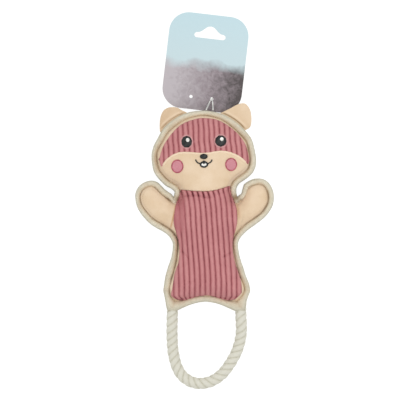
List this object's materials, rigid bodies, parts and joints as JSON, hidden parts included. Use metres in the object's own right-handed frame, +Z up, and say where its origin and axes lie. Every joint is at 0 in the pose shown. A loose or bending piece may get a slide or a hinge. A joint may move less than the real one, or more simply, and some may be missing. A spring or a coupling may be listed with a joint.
{
  "type": "stuffed dog toy",
  "caption": "Flat stuffed hamster dog toy with corduroy face and belly, canvas seam edges, suede arms and ears, a squeaker, a rope loop at its feet and a hanging card tied to its head.",
  "frame": {"origin": "On the flat of the toy's back, under the belly, where the toy rests when it lies face up.", "axes": "+Z up, out of the face; +Y towards the head and the hanging card; +X to the right of someone who looks at the face with the head at the top."},
  "size_m": [0.139, 0.3815, 0.0341],
  "materials": {
    "canvas": "coarse plain-woven cotton canvas, matt",
    "suede": "short-nap polyester suede, matt",
    "corduroy": "wide-wale corduroy with a soft pile",
    "filling": "polyester fibre filling",
    "black_thread": "satin stitching with a slight sheen",
    "white_thread": "satin stitching with a slight sheen",
    "pink_thread": "felt disc with a satin-stitched edge",
    "rope": "soft-twisted cotton rope",
    "card": "printed card with a smooth coating",
    "nylon": "clear white nylon filament",
    "vinyl": "soft moulded vinyl"
  },
  "bodies": {
    "torso": {"body_stuffing": "filling", "body_front_panel": "suede", "body_back_panel": "canvas", "belly_corduroy": "corduroy", "side_band_right": "canvas", "side_band_left": "canvas", "shoulder_band_right": "canvas", "shoulder_band_left": "canvas", "hem_band": "canvas", "squeaker_bulb": "vinyl", "squeaker_reed": "vinyl", "rope_sleeve_left": "canvas", "rope_sleeve_right": "canvas", "rope_tail_left": "rope", "rope_tail_right": "rope"},
    "head": {"head_stuffing": "filling", "face_panel": "suede", "head_back_panel": "canvas", "head_band": "canvas", "forehead_corduroy": "corduroy", "eye_left": "black_thread", "eye_right": "black_thread", "eye_glint_left": "white_thread", "eye_glint_right": "white_thread", "nose": "black_thread", "mouth": "black_thread", "teeth": "white_thread", "smile_left": "black_thread", "smile_right": "black_thread", "cheek_left": "pink_thread", "cheek_right": "pink_thread"},
    "ear_left": {"ear_left_front": "suede", "ear_left_back": "suede"},
    "ear_right": {"ear_right_front": "suede", "ear_right_back": "suede"},
    "arm_left": {"arm_left_stuffing": "filling", "arm_left_front_panel": "suede", "arm_left_back_panel": "canvas", "arm_left_band": "canvas"},
    "arm_right": {"arm_right_stuffing": "filling", "arm_right_front_panel": "suede", "arm_right_back_panel": "canvas", "arm_right_band": "canvas"},
    "rope": {"rope_loop": "rope"},
    "card": {"hang_card": "card", "card_tie": "nylon"}
  },
  "joints": [
    {"name": "neck_nod", "type": "hinge", "parent": "torso", "child": "head", "pos_m": [0, 0.0596, 0.0135], "axis": [1, 0, 0], "range_deg": [-12, 12]},
    {"name": "arm_right_flap", "type": "hinge", "parent": "torso", "child": "arm_right", "pos_m": [0.0325, 0.035, 0.0135], "axis": [0, 1, 0], "range_deg": [-20, 20]},
    {"name": "arm_left_flap", "type": "hinge", "parent": "torso", "child": "arm_left", "pos_m": [-0.0325, 0.035, 0.0135], "axis": [0, 1, 0], "range_deg": [-20, 20]},
    {"name": "ear_left_fold", "type": "hinge", "parent": "head", "child": "ear_left", "pos_m": [-0.0343, 0.1315, 0.0123], "axis": [0.8148, 0.5797, 0], "range_deg": [-15, 80]},
    {"name": "ear_right_fold", "type": "hinge", "parent": "head", "child": "ear_right", "pos_m": [0.0291, 0.1316, 0.0123], "axis": [0.8172, -0.5763, 0], "range_deg": [-15, 80]},
    {"name": "rope_swing", "type": "hinge", "parent": "torso", "child": "rope", "pos_m": [0, -0.0664, 0.0115], "axis": [-1, 0, 0], "range_deg": [-45, 90]},
    {"name": "card_swing", "type": "hinge", "parent": "head", "child": "card", "pos_m": [-0.0025, 0.14135, 0.0135], "axis": [1, 0, 0], "range_deg": [0, 110]}
  ]
}
